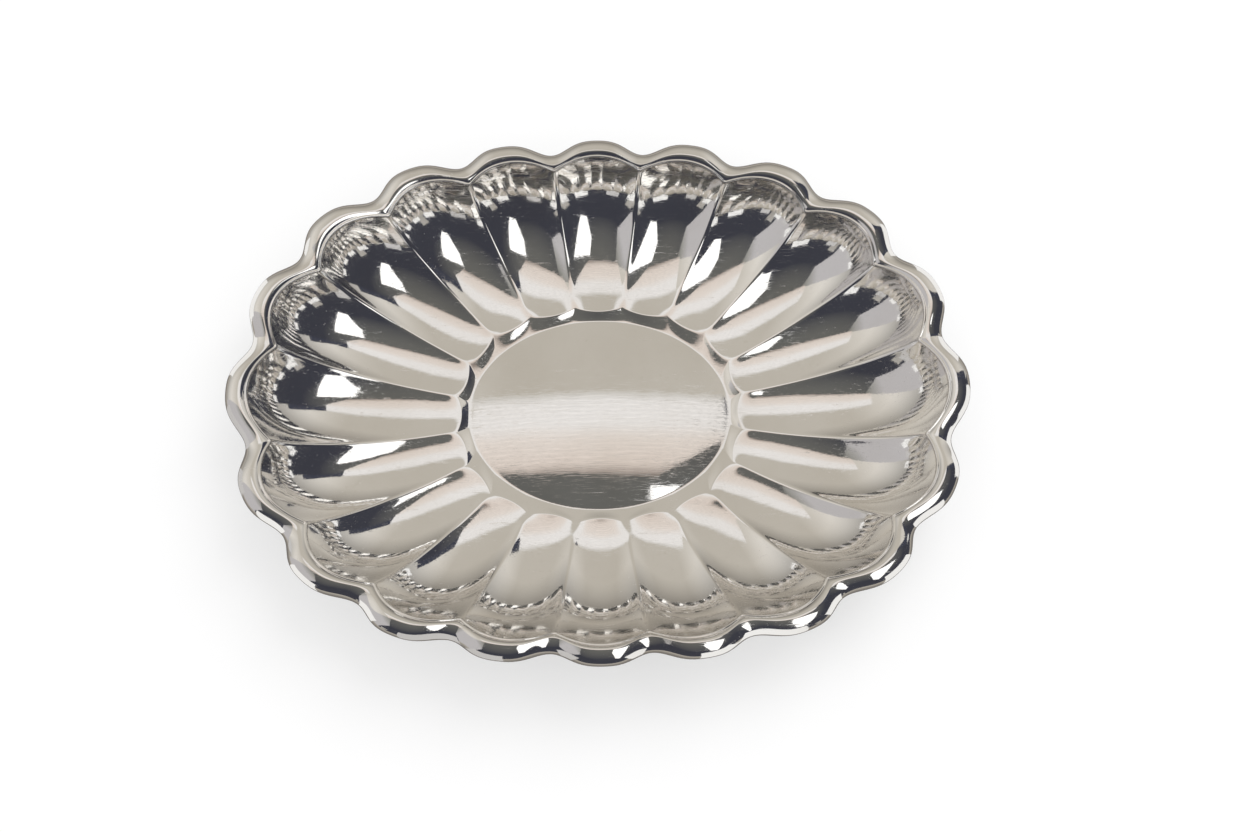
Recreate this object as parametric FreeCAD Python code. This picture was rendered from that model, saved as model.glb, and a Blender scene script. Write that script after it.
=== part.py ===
import FreeCAD, Part
import math
import os

# Fluted oval offering plate: one deep-drawn sheet with twenty flutes, a scalloped
# half-round border soldered to its edge, and a stiffening wire inside the border's curl.
#
# Frame: millimetres, +Z up, +X along the long axis, origin on the resting plane under
# the middle of the plate. The plate rests on the narrow flat land under the foot line.

FLUTES = 20
PER_QUARTER = FLUTES // 4
NODES = ("fluted_dish", "rim_border", "rim_wire")

# Every size is in millimetres or degrees.
SIZES = (
    ("core_end", 28.3, "half length of the core ellipse whose normals the ridges follow"),
    ("core_side", 19.9, "half width of the core ellipse"),
    ("side_flute_half_angle", 8.83, "half angle of the flutes on the short axis"),
    ("end_flute_half_angle", 9.6, "half angle of the flutes on the long axis"),
    ("notch_side", 91.2, "core ellipse to rim notch, measured beside the short axis"),
    ("notch_end", 122.5, "core ellipse to rim notch, measured beside the long axis"),
    ("notch_shoulder", 2.1, "extra reach of the notches on the diagonals"),
    ("crease_side", 82.7, "core ellipse to ridge head, short axis"),
    ("crease_end", 111.2, "core ellipse to ridge head, long axis"),
    ("crease_shoulder", 0.8, "extra reach of the ridge heads on the diagonals"),
    ("ring_side", 30.6, "core ellipse to ridge foot, short axis"),
    ("ring_end", 35.8, "core ellipse to ridge foot, long axis"),
    ("ring_shoulder", 2.5, "extra reach of the ridge feet on the diagonals"),
    ("foot_half_length", 58.8, "foot line, an ellipse round the middle panel"),
    ("foot_half_width", 44.2, "foot line"),
    ("land_half_width", 0.8, "half width of the flat land under the foot line"),
    ("rim_bulge_side", 4.9, "outward bulge of a side lobe at the rim"),
    ("rim_bulge_end", 6.5, "outward bulge of an end lobe at the rim"),
    ("crease_bulge_side", 4.7, "outward bulge of a side flute at its head"),
    ("crease_bulge_end", 8.4, "outward bulge of an end flute at its head"),
    ("pocket_bulge", 2.2, "inward bulge of each flute's rounded foot"),
    ("gauge", 1.0, "thickness of the dish sheet"),
    ("crown_rise", 4.0, "rise of the middle panel above the foot line"),
    ("ring_rise", 1.9, "rise of the ring from the foot line to the ridge feet"),
    ("trough_rise", 1.3, "lowest point of the flutes above the foot line"),
    ("pocket_run", 13.0, "length over which each flute sinks from the ring to its lowest point"),
    ("ridge_lift", 0.8, "first rise of the ridges above the ring"),
    ("ridge_lift_run", 6.0, "length over which the ridges make their first rise"),
    ("crease_height", 39.4, "height of a flute's head at the border"),
    ("notch_height", 35.5, "height of a ridge's head at the border"),
    ("crest_height", 42.8, "height of the border's crest at the tip of a lobe"),
    ("crest_dip", 3.4, "how much lower the border lies at the notches"),
    ("border_gauge", 0.8, "thickness of the border strip"),
    ("outer_run", 6.2, "level distance from the border's crest to its widest line"),
    ("outer_drop", 4.1, "height of the border's crest above its widest line"),
    ("curl_radius", 2.2, "outer radius of the curl round the wire"),
    ("curl_angle", 200.0, "turn of the curl below the border's widest line"),
    ("wire_clearance", 0.15, "gap between the wire and the curl"),
)

ROW_COUNT = 15        # rows of control points from a flute's foot to its head
COLUMN_COUNT = 11     # columns of control points across a flute
RING_ROWS = 5         # rows of control points across the ring
CROWN_ROWS = 7        # rows of control points from the middle to the foot line
INNER_POINTS = 5      # control points of the border's section from its crease to its crest
OUTER_POINTS = 6      # control points from the crest to the widest line
CURL_POINTS = 11      # control points round the curl
WIRE_POINTS = 12      # control points round the wire's section
ROW_CROWDING = 0.6    # how much closer the rows stand at both ends of a flute

# A trough and a ridge each climb as share * along^start + (1 - share) * along^power.
TROUGH_START_SIDE = 2.2
TROUGH_START_END = 2.0
TROUGH_SHARE_SIDE = 0.55
TROUGH_SHARE_END = 0.48
TROUGH_POWER_SIDE = 7.0
TROUGH_POWER_END = 8.0
RIDGE_START = 2.0
RIDGE_SHARE_SIDE = 0.78
RIDGE_SHARE_END = 0.75
RIDGE_POWER = 6.0
RING_POWER = 1.2      # power of the ring's rise from the foot line

ARCH_POWER = 1.9      # squareness of the arch at a flute's head
HEAD_POWER = 2.5      # how late a flute swells towards its arched head
POCKET_POWER = 4      # how early a flute's foot straightens
SCOOP_FULLNESS = 0.25  # how much steeper a flute's sides are than a plain parabola
LOBE_FULLNESS = 0.09  # how much broader the border's lobes are than a plain wave
INNER_ROLL_ANGLE = 60.0
CREASE_BLEND_POWER = 3
SMALL_STEP = 1e-4
DEGREE = 3


def add_sheet(doc):
    """The spreadsheet that holds every driving size, one alias a row."""
    sheet = doc.addObject("Spreadsheet::Sheet", "sizes")
    for row, (alias, value, meaning) in enumerate(SIZES, start=1):
        sheet.set("A%d" % row, alias)
        sheet.set("B%d" % row, str(value))
        sheet.set("C%d" % row, meaning)
        sheet.setAlias("B%d" % row, alias)
    doc.recompute()
    return sheet


def blend(side, end, angle):
    """A size that passes from its side value to its end value round the oval."""
    return side + (end - side) * math.sin(angle) ** 2


class Layout:
    """The plan of the plate: where each flute, notch and ring point lies."""

    def __init__(self, sheet):
        for alias, _value, _meaning in SIZES:
            setattr(self, alias, float(sheet.get(alias)))

    def ridge_angle(self, index):
        """Direction of ridge number index, clockwise from +Y, in radians."""
        quarter, step = divmod(index, PER_QUARTER)
        start = self.side_flute_half_angle
        stop = 90.0 - self.end_flute_half_angle
        pitch = (stop - start) / (PER_QUARTER - 1)
        if quarter % 2:
            inside = 90.0 - (start + pitch * (PER_QUARTER - 1 - step))
        else:
            inside = start + pitch * step
        return math.radians(90.0 * quarter + inside)

    def flute_angles(self, flute):
        """Directions of the two ridges beside a flute."""
        first = self.ridge_angle(flute - 1) if flute else self.ridge_angle(FLUTES - 1) - math.tau
        return first, self.ridge_angle(flute)

    def on_ellipse(self, half_length, half_width, angle):
        """Point of an ellipse whose outward normal has the given direction."""
        across = half_length * math.sin(angle)
        along = half_width * math.cos(angle)
        scale = math.hypot(across, along)
        return half_length * across / scale, half_width * along / scale

    def reach(self, name, angle):
        """Distance from the core ellipse to a named line: notch, crease or ring."""
        side = getattr(self, name + "_side")
        end = getattr(self, name + "_end")
        shoulder = getattr(self, name + "_shoulder")
        return blend(side, end, angle) + shoulder * math.sin(2.0 * angle) ** 2

    def plan(self, angle, distance):
        """Plan point at a distance from the core ellipse, along its normal."""
        x, y = self.on_ellipse(self.core_end, self.core_side, angle)
        return x + distance * math.sin(angle), y + distance * math.cos(angle)

    def foot(self, angle, offset=0.0):
        """Plan point of the foot line, or of a line beside it."""
        x, y = self.on_ellipse(self.foot_half_length, self.foot_half_width, angle)
        return x + offset * math.sin(angle), y + offset * math.cos(angle)


def head_arch(across):
    """Rounded arch of a flute's head: 1 in the middle, 0 at the ridges."""
    return 1.0 - abs(across) ** ARCH_POWER


def rim_wave(across):
    """Scallop of the border's outline: broad lobes, narrow rounded notches."""
    turn = math.pi * across
    return 0.5 * (1.0 + math.cos(turn)) + LOBE_FULLNESS * (1.0 - math.cos(2.0 * turn))


def ease(across):
    """Trough to ridge across a flute: 0 in the middle, 1 at the ridges."""
    square = across * across
    return square * (1.0 + SCOOP_FULLNESS * square) / (1.0 + SCOOP_FULLNESS)


def climb(along, share, start, power):
    """Climb from 0 at the ring to 1 at the border: gentle at first, steep at the wall."""
    return share * along ** start + (1.0 - share) * along ** power


def flute_point(plan, angle, across, along):
    """Point of the dish's upper face; along runs from 0 at the ring to 1 at the border."""
    inner = plan.reach("ring", angle)
    outer = plan.reach("crease", angle)
    head = blend(plan.crease_bulge_side, plan.crease_bulge_end, angle) * head_arch(across)
    pocket = plan.pocket_bulge * (1.0 - across * across)
    distance = inner + (outer - inner) * along
    distance += head * along ** HEAD_POWER - pocket * (1.0 - along) ** POCKET_POWER
    x, y = plan.plan(angle, distance)
    return FreeCAD.Vector(x, y, flute_height(plan, angle, across, along, outer - inner))


def flute_height(plan, angle, across, along, run):
    """Height of the dish's upper face at a place in a flute."""
    ring = plan.gauge + plan.ring_rise
    floor = plan.gauge + plan.trough_rise
    share = blend(TROUGH_SHARE_SIDE, TROUGH_SHARE_END, angle)
    start = blend(TROUGH_START_SIDE, TROUGH_START_END, angle)
    power = blend(TROUGH_POWER_SIDE, TROUGH_POWER_END, angle)
    trough = floor + (plan.crease_height - floor) * climb(along, share, start, power)
    pocket = max(0.0, 1.0 - along * run / plan.pocket_run)
    trough += (ring - floor) * pocket * pocket
    unlifted = max(0.0, 1.0 - along * run / plan.ridge_lift_run)
    foot = ring + plan.ridge_lift
    share = blend(RIDGE_SHARE_SIDE, RIDGE_SHARE_END, angle)
    ridge = foot + (plan.notch_height - foot) * climb(along, share, RIDGE_START, RIDGE_POWER)
    ridge -= plan.ridge_lift * unlifted * unlifted
    return trough + (ridge - trough) * ease(across)


def sheet_normal(plan, angle, across, along, turn):
    """Direction square to the upper face, turned upright in the ridge's own plane at a ridge.

    turn is the angle that one unit of across covers.
    """
    below = min(along, 1.0 - SMALL_STEP)
    here = flute_point(plan, angle, across, below)
    rise = flute_point(plan, angle, across, below + SMALL_STEP) - here
    sideways = FreeCAD.Vector(math.cos(angle), -math.sin(angle), 0.0)
    side = sideways
    if abs(across) < 1.0 - SMALL_STEP:
        beside = flute_point(plan, angle + turn * SMALL_STEP, across + SMALL_STEP, below)
        side = beside - here
    normal = side.cross(rise)
    normal.normalize()
    normal -= sideways * (normal.dot(sideways) * abs(across) ** CREASE_BLEND_POWER)
    normal.normalize()
    return normal if normal.z > 0.0 else normal * -1.0


def crowded(part):
    """Places from 0 to 1 that stand closer together at both ends."""
    return part - ROW_CROWDING * math.sin(math.tau * part) / math.tau


def flute_grid(plan, flute):
    """Upper and lower control points of one flute, row by row from its foot."""
    first, last = plan.flute_angles(flute)
    upper, lower = [], []
    for row in range(ROW_COUNT):
        along = crowded(row / (ROW_COUNT - 1))
        upper_row, lower_row = [], []
        for angle, across in flute_columns(plan, flute):
            point = flute_point(plan, angle, across, along)
            normal = FreeCAD.Vector(0.0, 0.0, 1.0)
            if row > 0:
                normal = sheet_normal(plan, angle, across, along, 0.5 * (last - first))
            upper_row.append(point)
            lower_row.append(point - normal * plan.gauge)
        upper.append(upper_row)
        lower.append(lower_row)
    return upper, lower


def knots_for(count, degree):
    """Clamped, evenly spaced knots and their multiplicities."""
    spans = count - degree
    values = [float(i) for i in range(spans + 1)]
    multiplicities = [degree + 1] + [1] * (spans - 1) + [degree + 1]
    return values, multiplicities


def patch(rows):
    """Face of a smooth surface drawn over a grid of control points."""
    u_degree = min(DEGREE, len(rows) - 1)
    v_degree = min(DEGREE, len(rows[0]) - 1)
    u_knots, u_mults = knots_for(len(rows), u_degree)
    v_knots, v_mults = knots_for(len(rows[0]), v_degree)
    surface = Part.BSplineSurface()
    surface.buildFromPolesMultsKnots(rows, u_mults, v_mults, u_knots, v_knots,
                                     False, False, u_degree, v_degree)
    return surface.toShape()


def solid_from(faces):
    """Closed solid sewn from faces that share their boundary curves."""
    shell = Part.makeShell(faces)
    shell.sewShape()
    solid = Part.Solid(shell)
    if solid.Volume < 0.0:
        solid.reverse()
    return solid


def curve(points):
    """Edge drawn over the same control points as the border of a patch."""
    degree = min(DEGREE, len(points) - 1)
    knots, multiplicities = knots_for(len(points), degree)
    line = Part.BSplineCurve()
    line.buildFromPolesMultsKnots(points, multiplicities, knots, False, degree)
    return line.toShape()


def flute_columns(plan, flute):
    """The directions and places across a flute where its control points stand."""
    first, last = plan.flute_angles(flute)
    middle, half = 0.5 * (first + last), 0.5 * (last - first)
    for column in range(COLUMN_COUNT):
        across = 2.0 * column / (COLUMN_COUNT - 1) - 1.0
        yield middle + half * across, across


def foot_row(plan, flute, offset, height):
    """Row of control points along the foot line, or along a line beside it."""
    row = []
    for angle, _across in flute_columns(plan, flute):
        x, y = plan.foot(angle, offset)
        row.append(FreeCAD.Vector(x, y, height))
    return row


def rows_between(first, last, count, power):
    """Rows that pass from one row to another, their heights on a power curve."""
    rows = []
    for index in range(count):
        part = index / (count - 1)
        row = []
        for start, stop in zip(first, last):
            x = start.x + (stop.x - start.x) * part
            y = start.y + (stop.y - start.y) * part
            row.append(FreeCAD.Vector(x, y, start.z + (stop.z - start.z) * part ** power))
        rows.append(row)
    return rows


def crown_rows(edge, rise):
    """Rows from the middle of the panel out to its edge, on a shallow dome."""
    rows = []
    for index in range(CROWN_ROWS):
        part = index / (CROWN_ROWS - 1)
        lift = rise * (1.0 - part * part)
        row = []
        for point in edge:
            row.append(FreeCAD.Vector(point.x * part, point.y * part, point.z + lift))
        rows.append(row)
    return rows


def make_dish(plan):
    """The drawn sheet: flutes, ring and crowned middle panel, with a flat resting land."""
    faces = []
    land_outer, land_inner = [], []
    for flute in range(FLUTES):
        upper, lower = flute_grid(plan, flute)
        foot = foot_row(plan, flute, 0.0, plan.gauge)
        outside = foot_row(plan, flute, plan.land_half_width, 0.0)
        inside = foot_row(plan, flute, -plan.land_half_width, 0.0)
        faces.append(patch(upper))
        faces.append(patch(lower))
        faces.append(patch([upper[-1], lower[-1]]))
        faces.append(patch(rows_between(foot, upper[0], RING_ROWS, RING_POWER)))
        faces.append(patch(rows_between(outside, lower[0], RING_ROWS, RING_POWER)))
        faces.append(patch(crown_rows(foot, plan.crown_rise)))
        faces.append(patch(crown_rows(inside, plan.crown_rise)))
        land_outer.append(curve(outside))
        land_inner.append(curve(inside))
    land = Part.Face(Part.Wire(land_outer)).cut(Part.Face(Part.Wire(land_inner)))
    faces.extend(land.Faces)
    return solid_from(faces)


def outline_point(plan, angle, across):
    """Point of the border's widest line."""
    bulge = blend(plan.rim_bulge_side, plan.rim_bulge_end, angle)
    x, y = plan.plan(angle, plan.reach("notch", angle) + bulge * rim_wave(across))
    dip = plan.crest_dip * (1.0 - rim_wave(across))
    return FreeCAD.Vector(x, y, plan.crest_height - plan.outer_drop - dip)


def border_section(plan, widest, crease, skin):
    """Control points of one skin of the border, from the crease to the lip of the curl.

    skin is 0 for the outer skin and the strip's thickness for the inner one.
    """
    inward = FreeCAD.Vector(crease.x - widest.x, crease.y - widest.y, 0.0)
    inward.normalize()
    up = FreeCAD.Vector(0.0, 0.0, 1.0)
    crest = widest + inward * plan.outer_run + up * (plan.outer_drop - skin)
    points = []
    limit = math.radians(INNER_ROLL_ANGLE)
    for index in range(INNER_POINTS, 0, -1):
        turn = limit * index / INNER_POINTS
        reach = math.sin(turn) / math.sin(limit)
        drop = (1.0 - math.cos(turn)) / (1.0 - math.cos(limit))
        x = crest.x + (crease.x - crest.x) * reach
        y = crest.y + (crease.y - crest.y) * reach
        points.append(FreeCAD.Vector(x, y, crest.z + (crease.z - crest.z) * drop))
    for index in range(OUTER_POINTS, 0, -1):
        turn = math.radians(90.0 * index / OUTER_POINTS)
        out = plan.outer_run - (plan.outer_run - skin) * math.cos(turn)
        points.append(widest + inward * out + up * ((plan.outer_drop - skin) * math.sin(turn)))
    for index in range(CURL_POINTS):
        turn = math.radians(plan.curl_angle * index / (CURL_POINTS - 1))
        out = plan.curl_radius - (plan.curl_radius - skin) * math.cos(turn)
        points.append(widest + inward * out - up * ((plan.curl_radius - skin) * math.sin(turn)))
    return points


def make_border(plan):
    """The scalloped border: a strip rolled over the dish's edge and curled under."""
    faces = []
    for flute in range(FLUTES):
        upper, lower = flute_grid(plan, flute)
        outer_skin, inner_skin = [], []
        for column, (angle, across) in enumerate(flute_columns(plan, flute)):
            widest = outline_point(plan, angle, across)
            outer_skin.append(border_section(plan, widest, upper[-1][column], 0.0))
            inner_skin.append(border_section(plan, widest, lower[-1][column], plan.border_gauge))
        outer_rows = [list(row) for row in zip(*outer_skin)]
        inner_rows = [list(row) for row in zip(*inner_skin)]
        faces.append(patch(outer_rows))
        faces.append(patch(inner_rows))
        faces.append(patch([outer_rows[-1], inner_rows[-1]]))
        faces.append(patch([upper[-1], lower[-1]]))
    return solid_from(faces)


def tube(rings):
    """Face of a tube drawn over closed rings of control points."""
    knots, multiplicities = knots_for(len(rings), DEGREE)
    around = len(rings[0])
    surface = Part.BSplineSurface()
    surface.buildFromPolesMultsKnots(rings, multiplicities, [1] * (around + 1), knots,
                                     [float(i) for i in range(around + 1)],
                                     False, True, DEGREE, DEGREE)
    return surface.toShape()


def make_wire(plan):
    """The stiffening wire: a round section carried once round inside the border's curl."""
    radius = plan.curl_radius - plan.border_gauge - plan.wire_clearance
    up = FreeCAD.Vector(0.0, 0.0, 1.0)
    faces = []
    for flute in range(FLUTES):
        rings = []
        for angle, across in flute_columns(plan, flute):
            widest = outline_point(plan, angle, across)
            crease = flute_point(plan, angle, across, 1.0)
            inward = FreeCAD.Vector(crease.x - widest.x, crease.y - widest.y, 0.0)
            inward.normalize()
            middle = widest + inward * plan.curl_radius
            ring = []
            for index in range(WIRE_POINTS):
                turn = math.tau * index / WIRE_POINTS
                spoke = inward * math.cos(turn) + up * math.sin(turn)
                ring.append(middle + spoke * radius)
            rings.append(ring)
        faces.append(tube(rings))
    return solid_from(faces)


def add_shape(doc, label, shape):
    """A document object that holds a finished solid."""
    piece = doc.addObject("Part::Feature", label)
    piece.Shape = shape
    piece.Label = label
    piece.Placement = FreeCAD.Placement()
    return piece


def check(doc):
    """Stop if any object of the document failed or any kept solid is not sound."""
    for item in doc.Objects:
        if "Invalid" in item.State or "Error" in item.State:
            raise RuntimeError("object failed: " + item.Label)
    for node in NODES:
        shape = doc.getObjectsByLabel(node)[0].Shape
        if shape.isNull() or not shape.isValid():
            raise RuntimeError("shape is not valid: " + node)
        box = shape.BoundBox
        print("%-12s solids %d faces %d volume %.0f box %.1f %.1f %.1f  z %.2f to %.2f" % (
            node, len(shape.Solids), len(shape.Faces), shape.Volume,
            box.XLength, box.YLength, box.ZLength, box.ZMin, box.ZMax))


def main():
    """Build the document and write one file for each piece."""
    doc = FreeCAD.newDocument("offering_plate")
    plan = Layout(add_sheet(doc))
    add_shape(doc, "fluted_dish", make_dish(plan))
    add_shape(doc, "rim_border", make_border(plan))
    add_shape(doc, "rim_wire", make_wire(plan))
    doc.recompute()
    check(doc)
    os.makedirs("parts", exist_ok=True)
    for node in NODES:
        doc.getObjectsByLabel(node)[0].Shape.exportStep("parts/%s.step" % node)


main()
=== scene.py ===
"""Polished silver offering plate: fluted dish, scalloped border and stiffening wire.

Sizes in the classes are millimetres, and meshes are made in metres. +X runs along
the long axis, +Z points up out of the bowl, and the plate rests on z = 0.
"""

import logging
import math
from dataclasses import dataclass, field
from enum import Enum

import bpy
import numpy as np
from mathutils import Matrix, Vector


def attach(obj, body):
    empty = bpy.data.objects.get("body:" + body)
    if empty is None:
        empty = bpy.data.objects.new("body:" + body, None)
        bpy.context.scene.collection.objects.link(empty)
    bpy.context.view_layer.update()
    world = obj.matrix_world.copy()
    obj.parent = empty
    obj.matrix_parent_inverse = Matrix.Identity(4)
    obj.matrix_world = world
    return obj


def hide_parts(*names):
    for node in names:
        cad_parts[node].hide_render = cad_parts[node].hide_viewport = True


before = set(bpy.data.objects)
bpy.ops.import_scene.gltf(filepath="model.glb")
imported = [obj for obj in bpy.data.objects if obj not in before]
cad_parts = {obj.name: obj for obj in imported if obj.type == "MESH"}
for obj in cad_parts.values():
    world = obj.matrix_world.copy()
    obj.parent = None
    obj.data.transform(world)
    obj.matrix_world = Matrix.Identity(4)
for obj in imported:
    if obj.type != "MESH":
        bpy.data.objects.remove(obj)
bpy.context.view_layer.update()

LOG = logging.getLogger("offering_plate")
MILLIMETRE = 0.001
SHARP_ANGLE = 55.0
NEARLY_ZERO = 1e-12
BODY = "root"


class Node(Enum):
    """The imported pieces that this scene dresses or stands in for."""

    DISH = "fluted_dish"
    BORDER = "rim_border"
    WIRE = "rim_wire"


class Slot(Enum):
    """Names of the record's material slots; the new meshes are not given them in this script."""

    DISH = "silver_dish"
    BORDER = "silver_border"


# ---------------------------------------------------------------- layout


@dataclass(frozen=True)
class Span:
    """A size that passes from the short axis to the long axis round the oval."""

    side: float
    end: float
    shoulder: float = 0.0

    def at(self, angle: np.ndarray) -> np.ndarray:
        """Value of the size in each direction.

        Args:
            angle: Directions, clockwise from +Y, in radians.

        Returns:
            The size at each direction.
        """
        mixed = self.side + (self.end - self.side) * np.sin(angle) ** 2
        return mixed + self.shoulder * np.sin(2.0 * angle) ** 2


@dataclass(frozen=True)
class FluteLayout:
    """The plan that the dish and the border share: directions, reaches and bulges."""

    flutes: int = 20
    columns: int = 32
    core_end: float = 28.3
    core_side: float = 19.9
    side_half_angle: float = 8.83
    end_half_angle: float = 9.6
    notch: Span = Span(91.2, 122.5, 2.1)
    crease: Span = Span(82.7, 111.2, 0.8)
    ring: Span = Span(30.6, 35.8, 2.5)
    foot_half_length: float = 58.8
    foot_half_width: float = 44.2

    def ridge_angles(self) -> np.ndarray:
        """Directions of the ridges all the way round.

        Returns:
            One direction for each ridge, in radians, starting beside +Y.
        """
        per_quarter = self.flutes // 4
        first = np.linspace(self.side_half_angle, 90.0 - self.end_half_angle, per_quarter)
        quarters = [first, 180.0 - first[::-1], 180.0 + first, 360.0 - first[::-1]]
        return np.radians(np.concatenate(quarters))

    def columns_round(self) -> tuple[np.ndarray, np.ndarray]:
        """Directions of the mesh columns, and where each lies across its flute.

        Returns:
            The directions in radians, and the places across, from -1 to 1.
        """
        ridges = self.ridge_angles()
        before = np.concatenate([[ridges[-1] - math.tau], ridges[:-1]])
        even = np.linspace(-1.0, 1.0, self.columns, endpoint=False)
        across = 0.5 * even + 0.5 * np.sin(0.5 * math.pi * even)
        middle = 0.5 * (ridges + before)[:, None]
        half = 0.5 * (ridges - before)[:, None]
        angles = middle + half * across[None, :]
        return angles.ravel(), np.tile(across, self.flutes)

    def on_ellipse(self, length: float, width: float, angle: np.ndarray) -> np.ndarray:
        """Points of an ellipse whose outward normals have the given directions.

        Args:
            length: Half length along X.
            width: Half width along Y.
            angle: Directions in radians.

        Returns:
            Points as rows of x and y.
        """
        across = length * np.sin(angle)
        along = width * np.cos(angle)
        scale = np.hypot(across, along)
        return np.stack([length * across / scale, width * along / scale], axis=-1)

    def plan(self, angle: np.ndarray, reach: np.ndarray) -> np.ndarray:
        """Plan points at a reach from the core ellipse, along its normals.

        Args:
            angle: Directions in radians.
            reach: Distances from the core ellipse.

        Returns:
            Points as rows of x and y.
        """
        core = self.on_ellipse(self.core_end, self.core_side, angle)
        heading = np.stack([np.sin(angle), np.cos(angle)], axis=-1)
        return core + heading * np.asarray(reach)[..., None]


# ---------------------------------------------------------------- mesh tools


def soften(grid: np.ndarray, passes: int, axis: int, closed: bool) -> np.ndarray:
    """Grid with each point drawn towards its neighbours, which rounds sharp lines.

    Args:
        grid: Points as rows by columns by three.
        passes: Number of passes; more passes give a larger rounding.
        axis: 0 to smooth from row to row, 1 from column to column.
        closed: Whether the grid joins itself along that axis.

    Returns:
        The smoothed grid. An open axis keeps its first and last line.
    """
    for _ in range(passes):
        after = np.roll(grid, -1, axis=axis)
        before = np.roll(grid, 1, axis=axis)
        smooth = 0.25 * before + 0.5 * grid + 0.25 * after
        if not closed:
            kept = [0, grid.shape[axis] - 1]
            if axis == 0:
                smooth[kept] = grid[kept]
            else:
                smooth[:, kept] = grid[:, kept]
        grid = smooth
    return grid


def grid_normals(grid: np.ndarray) -> np.ndarray:
    """Upward normals of a grid that is closed from column to column.

    Args:
        grid: Points as rows by columns by three.

    Returns:
        Unit normals in the same layout.
    """
    outward = np.gradient(grid, axis=0)
    round_about = np.roll(grid, -1, axis=1) - np.roll(grid, 1, axis=1)
    normals = np.cross(round_about, outward)
    normals /= np.linalg.norm(normals, axis=-1, keepdims=True) + NEARLY_ZERO
    normals[normals[..., 2].mean(axis=1) < 0.0] *= -1.0
    return normals


def ring_faces(rows: int, columns: int) -> list[tuple[int, int, int, int]]:
    """Quads between neighbouring rows of a grid that closes on itself.

    Args:
        rows: Number of rows.
        columns: Number of columns.

    Returns:
        Vertex indices of each quad.
    """
    faces = []
    for row in range(rows - 1):
        low = row * columns
        high = low + columns
        for column in range(columns):
            beside = (column + 1) % columns
            faces.append((low + column, low + beside, high + beside, high + column))
    return faces


def mesh_piece(name: str, points: np.ndarray, faces: list) -> bpy.types.Object:
    """Mesh object with outward faces and smooth shading, sharp only at real corners.

    Args:
        name: Name of the piece.
        points: Vertices in millimetres.
        faces: Vertex indices of each face.

    Returns:
        The new object, linked into the scene.
    """
    mesh = bpy.data.meshes.new(name)
    mesh.from_pydata((points * MILLIMETRE).tolist(), [], faces)
    mesh.update()
    mesh.validate()
    mesh.shade_smooth()
    mesh.set_sharp_from_angle(angle=math.radians(SHARP_ANGLE))
    piece = bpy.data.objects.new(name, mesh)
    bpy.context.scene.collection.objects.link(piece)
    return piece


# ---------------------------------------------------------------- the dish


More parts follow.
